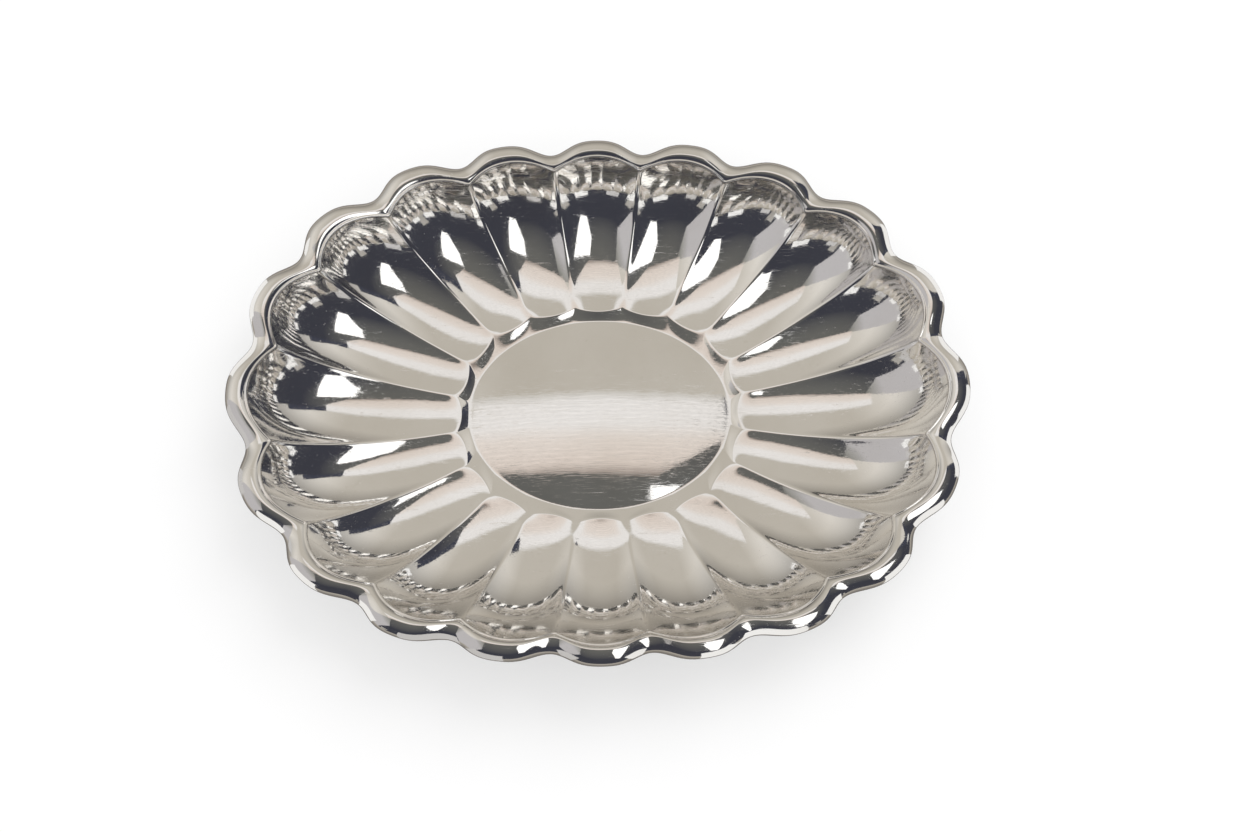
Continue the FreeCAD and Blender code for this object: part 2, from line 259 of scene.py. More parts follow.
@dataclass
class FlutedDish:
    """The drawn sheet: crowned panel, sloping ring and twenty scooped flutes."""

    layout: FluteLayout
    gauge: float = 1.0
    crown_rise: float = 4.0
    ring_rise: float = 1.9
    trough_rise: float = 1.3
    pocket_run: float = 13.0
    pocket_bulge: float = 2.2
    ridge_lift: float = 0.8
    ridge_lift_run: float = 6.0
    head_height: float = 39.4
    ridge_head_height: float = 35.5
    head_bulge: Span = Span(4.7, 8.4)
    trough_share: Span = Span(0.55, 0.48)
    trough_start_power: Span = Span(2.2, 2.0)
    trough_power: Span = Span(7.0, 8.0)
    ridge_share: Span = Span(0.78, 0.75)
    ridge_start_power: int = 2
    ridge_power: float = 6.0
    ridge_round: float = 0.45
    arch_power: float = 1.9
    head_power: float = 2.5
    pocket_power: int = 4
    scoop_fullness: float = 0.25
    crown_start: float = 0.04
    crown_crowding: float = 1.5
    ring_power: float = 1.2
    flute_crowding: float = 0.6
    crown_rows: int = 34
    ring_rows: int = 13
    flute_rows: int = 124
    angle: np.ndarray = field(init=False)
    across: np.ndarray = field(init=False)
    upper: np.ndarray = field(init=False)
    lower: np.ndarray = field(init=False)

    def __post_init__(self) -> None:
        """Work out both faces of the sheet."""
        self.angle, self.across = self.layout.columns_round()
        self.upper = self._upper_face()
        self.lower = self._lower_face()

    def _flute_plan(self, along: np.ndarray) -> np.ndarray:
        """Plan points of the flutes.

        Args:
            along: Places from the ring, 0, to the border, 1, as a column.

        Returns:
            Points as rows by columns by two.
        """
        inner = self.layout.ring.at(self.angle)
        outer = self.layout.crease.at(self.angle)
        arch = 1.0 - np.abs(self.across) ** self.arch_power
        head = self.head_bulge.at(self.angle) * arch * along ** self.head_power
        pocket = self.pocket_bulge * (1.0 - self.across ** 2) * (1.0 - along) ** self.pocket_power
        reach = inner + (outer - inner) * along + head - pocket
        angle = np.broadcast_to(self.angle, reach.shape)
        return self.layout.plan(angle, reach)

    def _flute_height(self, along: np.ndarray, plan: np.ndarray) -> np.ndarray:
        """Heights of the flutes.

        Args:
            along: Places from the ring, 0, to the border, 1, as a column.
            plan: Plan points of the flutes.

        Returns:
            Heights as rows by columns.
        """
        ring = self.gauge + self.ring_rise
        floor = self.gauge + self.trough_rise
        run = self.layout.crease.at(self.angle) - self.layout.ring.at(self.angle)
        share = self.trough_share.at(self.angle)
        start_power = self.trough_start_power.at(self.angle)
        climb = self._climb(along, share, start_power, self.trough_power.at(self.angle))
        pocket = np.clip(1.0 - along * run / self.pocket_run, 0.0, 1.0)
        trough = floor + (self.head_height - floor) * climb + (ring - floor) * pocket ** 2
        share = self.ridge_share.at(self.angle)
        climb = self._climb(along, share, self.ridge_start_power, self.ridge_power)
        start = np.clip(1.0 - along * run / self.ridge_lift_run, 0.0, 1.0)
        lift = self.ridge_lift * (1.0 - start ** 2)
        ridge = ring + lift + (self.ridge_head_height - ring - self.ridge_lift) * climb
        return trough + (ridge - trough) * self._scoop(plan)

    def _climb(
        self,
        along: np.ndarray,
        share: np.ndarray,
        start_power: np.ndarray | float,
        power: np.ndarray | float,
    ) -> np.ndarray:
        """Rise of a line from the ring, 0, to the border, 1: gentle at first, then steep.

        Args:
            along: Places from the ring, 0, to the border, 1, as a column.
            share: Share of the rise that the gentle part takes.
            start_power: Power of the gentle part.
            power: Power of the steep part.

        Returns:
            The rise at each place.
        """
        return share * along ** start_power + (1.0 - share) * along ** power

    def _scoop(self, plan: np.ndarray) -> np.ndarray:
        """How far each point stands up from the trough, 0, towards the ridge line, 1.

        Args:
            plan: Plan points of the flutes.

        Returns:
            Shares as rows by columns, rounded off at the ridge lines.
        """
        columns = self.layout.columns
        ridges = plan[:, ::columns]
        width = np.linalg.norm(np.roll(ridges, -1, axis=1) - ridges, axis=-1)
        half = np.repeat(0.5 * width, columns, axis=1)
        away = (1.0 - np.abs(self.across)) * half
        rounded = np.sqrt(away ** 2 + self.ridge_round ** 2)
        across = np.clip(1.0 - rounded / half, 0.0, 1.0)
        fullness = self.scoop_fullness
        return across ** 2 * (1.0 + fullness * across ** 2) / (1.0 + fullness)

    def _upper_face(self) -> np.ndarray:
        """Upper face of the sheet, from the middle to the border.

        Returns:
            Points as rows by columns by three; the first row lies just off the middle.
        """
        layout = self.layout
        foot = layout.on_ellipse(layout.foot_half_length, layout.foot_half_width, self.angle)
        even = np.linspace(self.crown_start, 1.0, self.crown_rows)[:-1]
        part = 1.0 - (1.0 - even) ** self.crown_crowding
        crown_xy = foot[None] * part[:, None, None]
        crown_z = self.gauge + self.crown_rise * (1.0 - part ** 2)
        crown_z = np.broadcast_to(crown_z[:, None], crown_xy.shape[:2])
        even = np.linspace(0.0, 1.0, self.flute_rows)[:, None]
        along = even - self.flute_crowding * np.sin(math.tau * even) / math.tau
        flute_xy = self._flute_plan(along)
        flute_z = self._flute_height(along, flute_xy)
        step = np.linspace(0.0, 1.0, self.ring_rows)[:-1, None]
        ring_xy = foot[None] + (flute_xy[0] - foot)[None] * step[:, :, None]
        slope = np.broadcast_to(step, ring_xy.shape[:2]) ** self.ring_power
        ring_z = self.gauge + self.ring_rise * slope
        plan = np.concatenate([crown_xy, ring_xy, flute_xy])
        height = np.concatenate([crown_z, ring_z, flute_z])
        grid = np.concatenate([plan, height[..., None]], axis=-1)
        grid = soften(grid, passes=2, axis=0, closed=False)
        return soften(grid, passes=1, axis=1, closed=True)

    def _lower_face(self) -> np.ndarray:
        """Lower face: the upper one set down by the gauge, flat where it rests.

        Returns:
            Points as rows by columns by three, on every second row of the upper face.
        """
        normals = grid_normals(self.upper)
        normals = soften(normals, passes=4, axis=1, closed=True)
        normals /= np.linalg.norm(normals, axis=-1, keepdims=True)
        grid = self.upper - normals * self.gauge
        last = len(grid) - 1
        chosen = sorted(set(range(0, last, 2)) | {last})
        grid = soften(grid[chosen], passes=3, axis=1, closed=True)
        grid[..., 2] = np.maximum(grid[..., 2], 0.0)
        return grid

    def build(self) -> bpy.types.Object:
        """Closed mesh of the sheet.

        Returns:
            The dish's object.
        """
        columns = self.upper.shape[1]
        rows = np.concatenate([self.upper, self.lower[::-1]])
        top = np.array([[0.0, 0.0, self.gauge + self.crown_rise]])
        bottom = np.array([[0.0, 0.0, self.crown_rise]])
        points = np.concatenate([rows.reshape(-1, 3), top, bottom])
        faces = ring_faces(len(rows), columns)
        count = len(rows) * columns
        last = count - columns
        for column in range(columns):
            beside = (column + 1) % columns
            faces.append((count, beside, column))
            faces.append((count + 1, last + column, last + beside))
        return mesh_piece("fluted_dish_sheet", points, [face[::-1] for face in faces])


# ---------------------------------------------------------------- the border


@dataclass
class RimBorder:
    """The scalloped strip: rolled over the dish's edge and curled round the wire."""

    dish: FlutedDish
    bulge: Span = Span(4.9, 6.5)
    gauge: float = 0.8
    crest_height: float = 42.8
    crest_dip: float = 3.4
    outer_run: float = 6.2
    outer_drop: float = 4.1
    bead_width: float = 1.9
    bead_height: float = 0.75
    bead_lean: float = 0.7
    bead_turn_share: float = 0.6
    lobe_fullness: float = 0.09
    curl_radius: float = 2.2
    curl_turn: float = 200.0
    inner_turn: float = 60.0
    bead_rows: int = 14
    inner_rows: int = 12
    outer_rows: int = 16
    curl_rows: int = 22

    def _wave(self) -> np.ndarray:
        """Scallop of the outline: 1 at the tip of each lobe, 0 at the notches."""
        turn = math.pi * self.dish.across
        return 0.5 * (1.0 + np.cos(turn)) + self.lobe_fullness * (1.0 - np.cos(2.0 * turn))

    def _widest(self) -> np.ndarray:
        """Points of the border's widest line.

        Returns:
            One point for each column.
        """
        layout = self.dish.layout
        wave = self._wave()
        reach = layout.notch.at(self.dish.angle) + self.bulge.at(self.dish.angle) * wave
        plan = layout.plan(self.dish.angle, reach)
        height = self.crest_height - self.outer_drop - self.crest_dip * (1.0 - wave)
        return np.column_stack([plan, height])

    def _skin(self, crease: np.ndarray, inset: float) -> np.ndarray:
        """One skin of the strip, from the crease over the crest to the lip.

        Args:
            crease: The row of points where the skin meets the dish.
            inset: Depth of the skin inside the strip's outer face.

        Returns:
            Points as rows by columns by three.
        """
        widest = self._widest()
        inward = self.dish.upper[-1] - widest
        inward[:, 2] = 0.0
        inward /= np.linalg.norm(inward, axis=1, keepdims=True)
        up = np.array([0.0, 0.0, 1.0])
        crest = widest + inward * self.outer_run + up * (self.outer_drop - inset)
        limit = math.radians(self.inner_turn)
        rows = []
        middle = self.bead_turn_share * limit
        beside_dish = np.linspace(limit, middle, self.bead_rows, endpoint=False)
        below_crest = np.linspace(middle, 0.0, self.inner_rows, endpoint=False)
        for turn in np.concatenate([beside_dish, below_crest]):
            across = math.sin(turn) / math.sin(limit)
            drop = (1.0 - math.cos(turn)) / (1.0 - math.cos(limit))
            rows.append(crest + (crease - crest) * np.array([across, across, drop]))
        if inset == 0.0:
            rows = self._beaded(rows, inward)
        for turn in np.linspace(0.5 * math.pi, 0.0, self.outer_rows, endpoint=False):
            out = self.outer_run - (self.outer_run - inset) * math.cos(turn)
            rows.append(widest + inward * out + up * ((self.outer_drop - inset) * math.sin(turn)))
        for turn in np.linspace(0.0, math.radians(self.curl_turn), self.curl_rows):
            out = self.curl_radius - (self.curl_radius - inset) * math.cos(turn)
            drop = (self.curl_radius - inset) * math.sin(turn)
            rows.append(widest + inward * out - up * drop)
        return soften(np.array(rows), passes=1, axis=0, closed=False)

    def _beaded(self, rows: list[np.ndarray], inward: np.ndarray) -> list[np.ndarray]:
        """Raise a small rounded bead along the strip's inner edge.

        Args:
            rows: Rows of points, from the crease to the crest.
            inward: Level unit vectors towards the bowl, one for each column.

        Returns:
            The same rows, with the bead on the first of them.
        """
        raised = [rows[0]]
        travelled = np.zeros(len(inward))
        normal = self.bead_lean * (inward + np.array([0.0, 0.0, 1.0]))
        for before, point in zip(rows, rows[1:]):
            travelled = travelled + np.linalg.norm(point - before, axis=1)
            share = np.clip(travelled / self.bead_width, 0.0, 1.0)
            swell = self.bead_height * np.sqrt(np.clip(1.0 - (2.0 * share - 1.0) ** 2, 0.0, 1.0))
            raised.append(point + normal * swell[:, None])
        return raised

    def build(self) -> bpy.types.Object:
        """Closed mesh of the border.

        Returns:
            The border's object.
        """
        outer = self._skin(self.dish.upper[-1], 0.0)
        inner = self._skin(self.dish.lower[-1], self.gauge)
        rows = np.concatenate([outer, inner[::-1], outer[:1]])
        columns = rows.shape[1]
        faces = ring_faces(len(rows) - 1, columns)
        count = (len(rows) - 2) * columns
        for column in range(columns):
            beside = (column + 1) % columns
            faces.append((count + column, count + beside, beside, column))
        points = rows[:-1].reshape(-1, 3)
        return mesh_piece("rim_border_roll", points, [face[::-1] for face in faces])


# ---------------------------------------------------------------- shader groups


def new_group(name: str, inputs: dict[str, float], outputs: list[str]) -> bpy.types.ShaderNodeTree:
    """Empty node group with float inputs and float outputs.

    Args:
        name: Name of the group.
        inputs: Names and default values of its inputs.
        outputs: Names of its outputs.

    Returns:
        The group's node tree.
    """
    tree = bpy.data.node_groups.new(name, "ShaderNodeTree")
    for label, value in inputs.items():
        socket = tree.interface.new_socket(label, in_out="INPUT", socket_type="NodeSocketFloat")
        socket.default_value = value
    for label in outputs:
        tree.interface.new_socket(label, in_out="OUTPUT", socket_type="NodeSocketFloat")
    return tree


class Wiring:
    """Short forms for adding and joining nodes in one tree."""

    def __init__(self, tree: bpy.types.NodeTree) -> None:
        """Keep the tree that the nodes go into."""
        self.tree = tree

    def add(self, kind: str, **settings: object) -> bpy.types.Node:
        """Add a node and set its properties.

        Args:
            kind: The node's type.
            **settings: Properties of the node.

        Returns:
            The new node.
        """
        node = self.tree.nodes.new(kind)
        for label, value in settings.items():
            setattr(node, label, value)
        return node

    def join(self, source: bpy.types.NodeSocket, target: bpy.types.NodeSocket) -> None:
        """Link one socket to another."""
        self.tree.links.new(source, target)

    def math(self, operation: str, *values: object) -> bpy.types.NodeSocket:
        """Math node fed by sockets or numbers.

        Args:
            operation: The operation's name.
            *values: Sockets or plain numbers, in order.

        Returns:
            The result's socket.
        """
        node = self.add("ShaderNodeMath", operation=operation)
        for index, value in enumerate(values):
            if isinstance(value, bpy.types.NodeSocket):
                self.join(value, node.inputs[index])
            else:
                node.inputs[index].default_value = value
        return node.outputs[0]

    def noise(self, vector: bpy.types.NodeSocket, scale: float, detail: float) -> bpy.types.NodeSocket:
        """Noise value over a vector.

        Args:
            vector: Coordinates to read.
            scale: Waves in a metre.
            detail: Number of finer layers.

        Returns:
            The noise value's socket.
        """
        node = self.add("ShaderNodeTexNoise")
        node.inputs["Scale"].default_value = scale
        node.inputs["Detail"].default_value = detail
        self.join(vector, node.inputs["Vector"])
        return node.outputs["Fac"]

    def stretch(self, vector: bpy.types.NodeSocket, turn: float, scale: tuple) -> bpy.types.NodeSocket:
        """Coordinates turned about Z and scaled.

        Args:
            vector: Coordinates to change.
            turn: Turn in degrees.
            scale: Scale along each axis.

        Returns:
            The changed coordinates' socket.
        """
        node = self.add("ShaderNodeMapping")
        node.inputs["Rotation"].default_value = (0.0, 0.0, math.radians(turn))
        node.inputs["Scale"].default_value = scale
        self.join(vector, node.inputs["Vector"])
        return node.outputs["Vector"]

    def ramp(self, value: bpy.types.NodeSocket, low: float, high: float) -> bpy.types.NodeSocket:
        """Value remapped so that low becomes 0 and high becomes 1, and clamped.

        Args:
            value: The value to remap.
            low: Value that becomes 0.
            high: Value that becomes 1.

        Returns:
            The remapped value's socket.
        """
        node = self.add("ShaderNodeMapRange")
        node.inputs["From Min"].default_value = low
        node.inputs["From Max"].default_value = high
        self.join(value, node.inputs["Value"])
        return node.outputs["Result"]


@dataclass(frozen=True)
class MarkLayer:
    """One kind of polishing mark: straight lines that run in several directions."""

    runs: tuple[tuple[float, float], ...]
    waves: float
    detail: float
    faint: float
    full: float
    patchy: bool = False
    patch_turn: float = 40.0
    patch_waves: float = 30.0

    def wire(self, wiring: Wiring, place: bpy.types.NodeSocket) -> bpy.types.NodeSocket:
        """Add the layer's nodes.

        Args:
            wiring: Tree that the nodes go into.
            place: Coordinates to read.

        Returns:
            The marks' socket, from 0 to 1.
        """
        total = None
        for turn, reach in self.runs:
            lines = wiring.noise(wiring.stretch(place, turn, (reach, 1.0, 1.0)), self.waves, self.detail)
            lines = wiring.ramp(lines, self.faint, self.full)
            if self.patchy:
                turned = wiring.stretch(place, turn + self.patch_turn, (1.0, 1.0, 1.0))
                patches = wiring.ramp(wiring.noise(turned, self.patch_waves, 1.0), low=0.5, high=0.6)
                lines = wiring.math("MULTIPLY", lines, patches)
            total = lines if total is None else wiring.math("MAXIMUM", total, lines)
        return total


HAIRLINES = MarkLayer(
    runs=((8.0, 0.03), (63.0, 0.05), (-37.0, 0.04)),
    waves=2600.0,
    detail=2.0,
    faint=0.57,
    full=0.74,
)
SCRATCHES = MarkLayer(
    runs=((25.0, 0.02), (-70.0, 0.03), (112.0, 0.02)),
    waves=900.0,
    detail=0.0,
    faint=0.72,
    full=0.78,
    patchy=True,
)


def polishing_marks_group() -> bpy.types.ShaderNodeTree:
    """Hairline polishing marks that run several ways, with a few deeper scratches.

    Returns:
        A group with outputs Hairlines and Scratches, both from 0 to 1.
    """
    tree = new_group("polishing_marks", {"Fineness": 1.0}, ["Hairlines", "Scratches"])
    wiring = Wiring(tree)
    source = wiring.add("NodeGroupInput")
    target = wiring.add("NodeGroupOutput")
    scaled = wiring.add("ShaderNodeVectorMath", operation="SCALE")
    wiring.join(wiring.add("ShaderNodeTexCoord").outputs["Object"], scaled.inputs[0])
    wiring.join(source.outputs["Fineness"], scaled.inputs["Scale"])
    place = scaled.outputs["Vector"]
    wiring.join(HAIRLINES.wire(wiring, place), target.inputs["Hairlines"])
    wiring.join(SCRATCHES.wire(wiring, place), target.inputs["Scratches"])
    return tree


def tarnish_group() -> bpy.types.ShaderNodeTree:
    """Faint clouds of tarnish, deeper where the surface is hollow.

    Returns:
        A group with the output Veil, from 0 to 1.
    """
    cloud_depth = 0.6
    speck_depth = 0.35
    tree = new_group("tarnish_veil", {"Spread": 1.0}, ["Veil"])
    wiring = Wiring(tree)
    source = wiring.add("NodeGroupInput")
    target = wiring.add("NodeGroupOutput")
    place = wiring.add("ShaderNodeTexCoord").outputs["Object"]
    clouds = wiring.ramp(wiring.noise(place, scale=26.0, detail=4.0), low=0.42, high=0.75)
    clouds = wiring.math("MULTIPLY", clouds, cloud_depth)
    specks = wiring.ramp(wiring.noise(place, scale=420.0, detail=2.0), low=0.62, high=0.8)
    specks = wiring.math("MULTIPLY", specks, speck_depth)
    hollow = wiring.add("ShaderNodeNewGeometry").outputs["Pointiness"]
    hollow = wiring.ramp(hollow, low=0.5, high=0.42)
    veil = wiring.math("MAXIMUM", wiring.math("MAXIMUM", clouds, specks), hollow)
    veil = wiring.math("MULTIPLY", veil, source.outputs["Spread"])
    wiring.join(veil, target.inputs["Veil"])
    return tree


# ---------------------------------------------------------------- finishes


@dataclass(frozen=True)
class AgedMetal:
    """A metal under its marks and tarnish: what the silver and the wire share."""

    name: str
    bright: tuple[float, float, float]
    dull: tuple[float, float, float]
    mark_height: float = 0.0002

    def start(
        self,
        marks: bpy.types.ShaderNodeTree,
        tarnish: bpy.types.ShaderNodeTree,
    ) -> tuple[bpy.types.Material, Wiring, bpy.types.Node, bpy.types.Node]:
        """Begin the material, with its colour passing from bright to dull under the veil.

        Args:
            marks: The polishing marks group.
            tarnish: The tarnish group.

        Returns:
            The material, its wiring, its marks node and its veil node.
        """
        material = bpy.data.materials.new(self.name)
        material.use_nodes = True
        wiring = Wiring(material.node_tree)
        shader = material.node_tree.nodes["Principled BSDF"]
        shader.inputs["Metallic"].default_value = 1.0
        lines = wiring.add("ShaderNodeGroup", node_tree=marks)
        veil = wiring.add("ShaderNodeGroup", node_tree=tarnish)
        colour = wiring.add("ShaderNodeMix", data_type="RGBA")
        colour.inputs["A"].default_value = (*self.bright, 1.0)
        colour.inputs["B"].default_value = (*self.dull, 1.0)
        wiring.join(veil.outputs["Veil"], colour.inputs["Factor"])
        wiring.join(colour.outputs["Result"], shader.inputs["Base Color"])
        return material, wiring, lines, veil


@dataclass(frozen=True)
class PolishedPlate(AgedMetal):
    """Silver plate, hand polished for years: bright, faintly warm and finely marked."""

    bright: tuple[float, float, float] = (0.86, 0.845, 0.82)
    dull: tuple[float, float, float] = (0.66, 0.62, 0.56)
    smooth: float = 0.008
    hazy: float = 0.22
    veil_haze: float = 0.03
    scratch_haze: float = 0.15
    scratch_depth: float = 3.0
    mark_depth: float = 0.012
    unevenness: float = 0.045
    uneven_waves: float = 85.0
    uneven_height: float = 0.001
    fineness: float = 1.0
    spread: float = 0.5

    def build(self, marks: bpy.types.ShaderNodeTree, tarnish: bpy.types.ShaderNodeTree) -> bpy.types.Material:
        """Make the material.

        Args:
            marks: The polishing marks group.
            tarnish: The tarnish group.

        Returns:
            The new material.
        """
        material, wiring, lines, veil = self.start(marks, tarnish)
        shader = material.node_tree.nodes["Principled BSDF"]
        lines.inputs["Fineness"].default_value = self.fineness
        veil.inputs["Spread"].default_value = self.spread
        hairlines, scratches = lines.outputs["Hairlines"], lines.outputs["Scratches"]
        haze = wiring.math("MULTIPLY_ADD", hairlines, self.hazy - self.smooth, self.smooth)
        haze = wiring.math("MULTIPLY_ADD", veil.outputs["Veil"], self.veil_haze, haze)
        haze = wiring.math("MULTIPLY_ADD", scratches, self.scratch_haze, haze)
        wiring.join(haze, shader.inputs["Roughness"])
        depth = wiring.math("MULTIPLY_ADD", scratches, self.scratch_depth, hairlines)
        place = wiring.add("ShaderNodeTexCoord").outputs["Object"]
        uneven = wiring.add("ShaderNodeBump")
        uneven.inputs["Strength"].default_value = self.unevenness
        uneven.inputs["Distance"].default_value = self.uneven_height
        wiring.join(wiring.noise(place, self.uneven_waves, 1.0), uneven.inputs["Height"])
        bump = wiring.add("ShaderNodeBump", invert=True)
        bump.inputs["Strength"].default_value = self.mark_depth
        bump.inputs["Distance"].default_value = self.mark_height
        wiring.join(depth, bump.inputs["Height"])
        wiring.join(uneven.outputs["Normal"], bump.inputs["Normal"])
        wiring.join(bump.outputs["Normal"], shader.inputs["Normal"])
        return material


@dataclass(frozen=True)
class DrawnWire(AgedMetal):
    """Drawn brass wire, dulled by age, with fine lines along its length."""

    name: str = "drawn_wire"
    bright: tuple[float, float, float] = (0.72, 0.56, 0.30)
    dull: tuple[float, float, float] = (0.30, 0.22, 0.12)
    roughness: float = 0.3
    line_haze: float = 0.2
    line_depth: float = 0.1

    def build(self, marks: bpy.types.ShaderNodeTree, tarnish: bpy.types.ShaderNodeTree) -> bpy.types.Material:
        """Make the material.

        Args:
            marks: The polishing marks group.
            tarnish: The tarnish group.

        Returns:
            The new material.
        """
        material, wiring, lines, _ = self.start(marks, tarnish)
        shader = material.node_tree.nodes["Principled BSDF"]
        hairlines = lines.outputs["Hairlines"]
        haze = wiring.math("MULTIPLY_ADD", hairlines, self.line_haze, self.roughness)
        wiring.join(haze, shader.inputs["Roughness"])
        bump = wiring.add("ShaderNodeBump")
        bump.inputs["Strength"].default_value = self.line_depth
        bump.inputs["Distance"].default_value = self.mark_height
        wiring.join(hairlines, bump.inputs["Height"])
        wiring.join(bump.outputs["Normal"], shader.inputs["Normal"])
        return material


# ---------------------------------------------------------------- the studio


def plate_mesh(name: str, corners: tuple) -> bpy.types.Object:
    """Flat sheet through the given corners, in metres.

    Args:
        name: Name of the sheet.
        corners: Corner points in order.

    Returns:
        The sheet's object, staged and unseen by the camera.
    """
    mesh = bpy.data.meshes.new(name)
    mesh.from_pydata([tuple(corner) for corner in corners], [], [tuple(range(len(corners)))])
    sheet = bpy.data.objects.new(name, mesh)
    bpy.context.scene.collection.objects.link(sheet)
    unseen(sheet)
    return sheet


def level(outline: tuple, height: float) -> tuple:
    """Corners of a level sheet at one height."""
    return tuple((x, y, height) for x, y in outline)


def unseen(card: bpy.types.Object) -> None:
    """Keep a card out of sight of everything but mirror reflections."""
    card.visible_camera = False
    card.visible_shadow = False
    card.visible_diffuse = False


def glow_material(name: str) -> tuple[bpy.types.Material, Wiring, bpy.types.Node]:
    """Material that only glows.

    Args:
        name: Name of the material.

    Returns:
        The material, its wiring and its emission node.
    """
    material = bpy.data.materials.new(name)
    material.use_nodes = True
    material.node_tree.nodes.clear()
    wiring = Wiring(material.node_tree)
    glow = wiring.add("ShaderNodeEmission")
    wiring.join(glow.outputs["Emission"], wiring.add("ShaderNodeOutputMaterial").inputs["Surface"])
    return material, wiring, glow


@dataclass(frozen=True)
class Card:
    """A plain card or softbox that the polished metal mirrors."""

    name: str
    corners: tuple[tuple[float, float, float], ...]
    colour: tuple[float, float, float]
    strength: float = 1.0

    def build(self) -> None:
        """Make the card."""
        card = plate_mesh(self.name, self.corners)
        material, _, glow = glow_material(self.name)
        glow.inputs["Color"].default_value = (*self.colour, 1.0)
        glow.inputs["Strength"].default_value = self.strength
        card.data.materials.append(material)


def wall(name: str, start: tuple, end: tuple, height: float, colour: tuple) -> Card:
    """Upright card.

    Args:
        name: Name of the card.
        start: One end of its lower edge, as x and y.
        end: The other end of its lower edge.
        height: Height of its upper edge.
        colour: Colour that it glows with.

    Returns:
        The card, not yet built.
    """
    return Card(name, ((*start, 0.0), (*end, 0.0), (*end, height), (*start, height)), colour)


@dataclass(frozen=True)
class Blend:
    """Colour stops along one axis of an object's own coordinates."""

    axis: str
    low: float
    high: float
    stops: tuple[tuple[float, tuple[float, float, float]], ...]

    def wire(self, wiring: Wiring) -> bpy.types.NodeSocket:
        """Add the colour ramp.

        Args:
            wiring: Tree that the nodes go into.

        Returns:
            The colour's socket.
        """
        place = wiring.add("ShaderNodeTexCoord").outputs["Object"]
        split = wiring.add("ShaderNodeSeparateXYZ")
        wiring.join(place, split.inputs[0])
        ramp = wiring.add("ShaderNodeValToRGB")
        wiring.join(wiring.ramp(split.outputs[self.axis], self.low, self.high), ramp.inputs["Fac"])
        elements = ramp.color_ramp.elements
        while len(elements) < len(self.stops):
            elements.new(0.5)
        for element, (position, colour) in zip(elements, self.stops):
            element.position = position
            element.color = (*colour, 1.0)
        return ramp.outputs["Color"]


